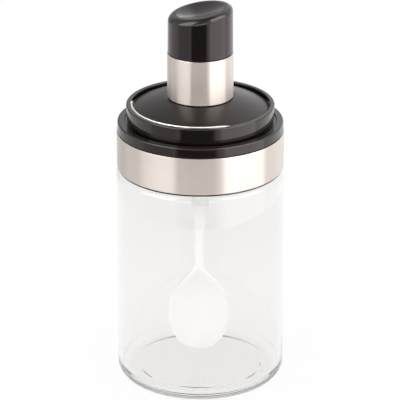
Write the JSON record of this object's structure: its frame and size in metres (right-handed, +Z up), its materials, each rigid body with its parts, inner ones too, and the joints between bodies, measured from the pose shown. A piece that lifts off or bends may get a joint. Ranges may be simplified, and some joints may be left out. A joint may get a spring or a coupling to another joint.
{
  "type": "spice jar",
  "caption": "Straight glass spice jar with a banded screw collar and a lift-out lid whose knob handle carries a spoon.",
  "frame": {"origin": "centre of the glass ring that the jar rests on, at the height of the table", "axes": "+Z up along the jar's axis, +X towards the high side of the slanted knob, -Y towards the viewer and the hollow side of the spoon"},
  "size_m": [0.07, 0.07, 0.1622],
  "materials": {
    "clear_glass": "clear, smooth, pressed",
    "silicone": "translucent satin",
    "black_plastic": "polished",
    "brushed_steel": "brushed round the axis",
    "white_plastic": "smooth moulded"
  },
  "bodies": {
    "jar": {"glass_jar": "clear_glass"},
    "gasket": {"jar_gasket": "silicone"},
    "collar": {"collar": "black_plastic", "collar_band": "brushed_steel"},
    "lid": {"lid_cup": "black_plastic", "lid_dome": "black_plastic", "lid_seal": "silicone", "handle_core": "black_plastic", "handle_sleeve": "brushed_steel", "knob_cap": "black_plastic", "spoon": "white_plastic"}
  },
  "joints": [
    {"name": "collar_rise", "type": "slide", "parent": "jar", "child": "gasket", "axis": [0, 0, 1], "range_m": [0, 0.005]},
    {"name": "collar_turn", "type": "hinge", "parent": "gasket", "child": "collar", "pos_m": [0, 0, 0.0932], "axis": [0, 0, 1], "range_deg": [0, 450]},
    {"name": "lid_lift", "type": "slide", "parent": "collar", "child": "lid", "axis": [0, 0, 1], "range_m": [0, 0.115]}
  ],
  "couplings": [
    {"joint": "collar_rise", "follows": "collar_turn", "m_per_rad": 0.0006366}
  ]
}
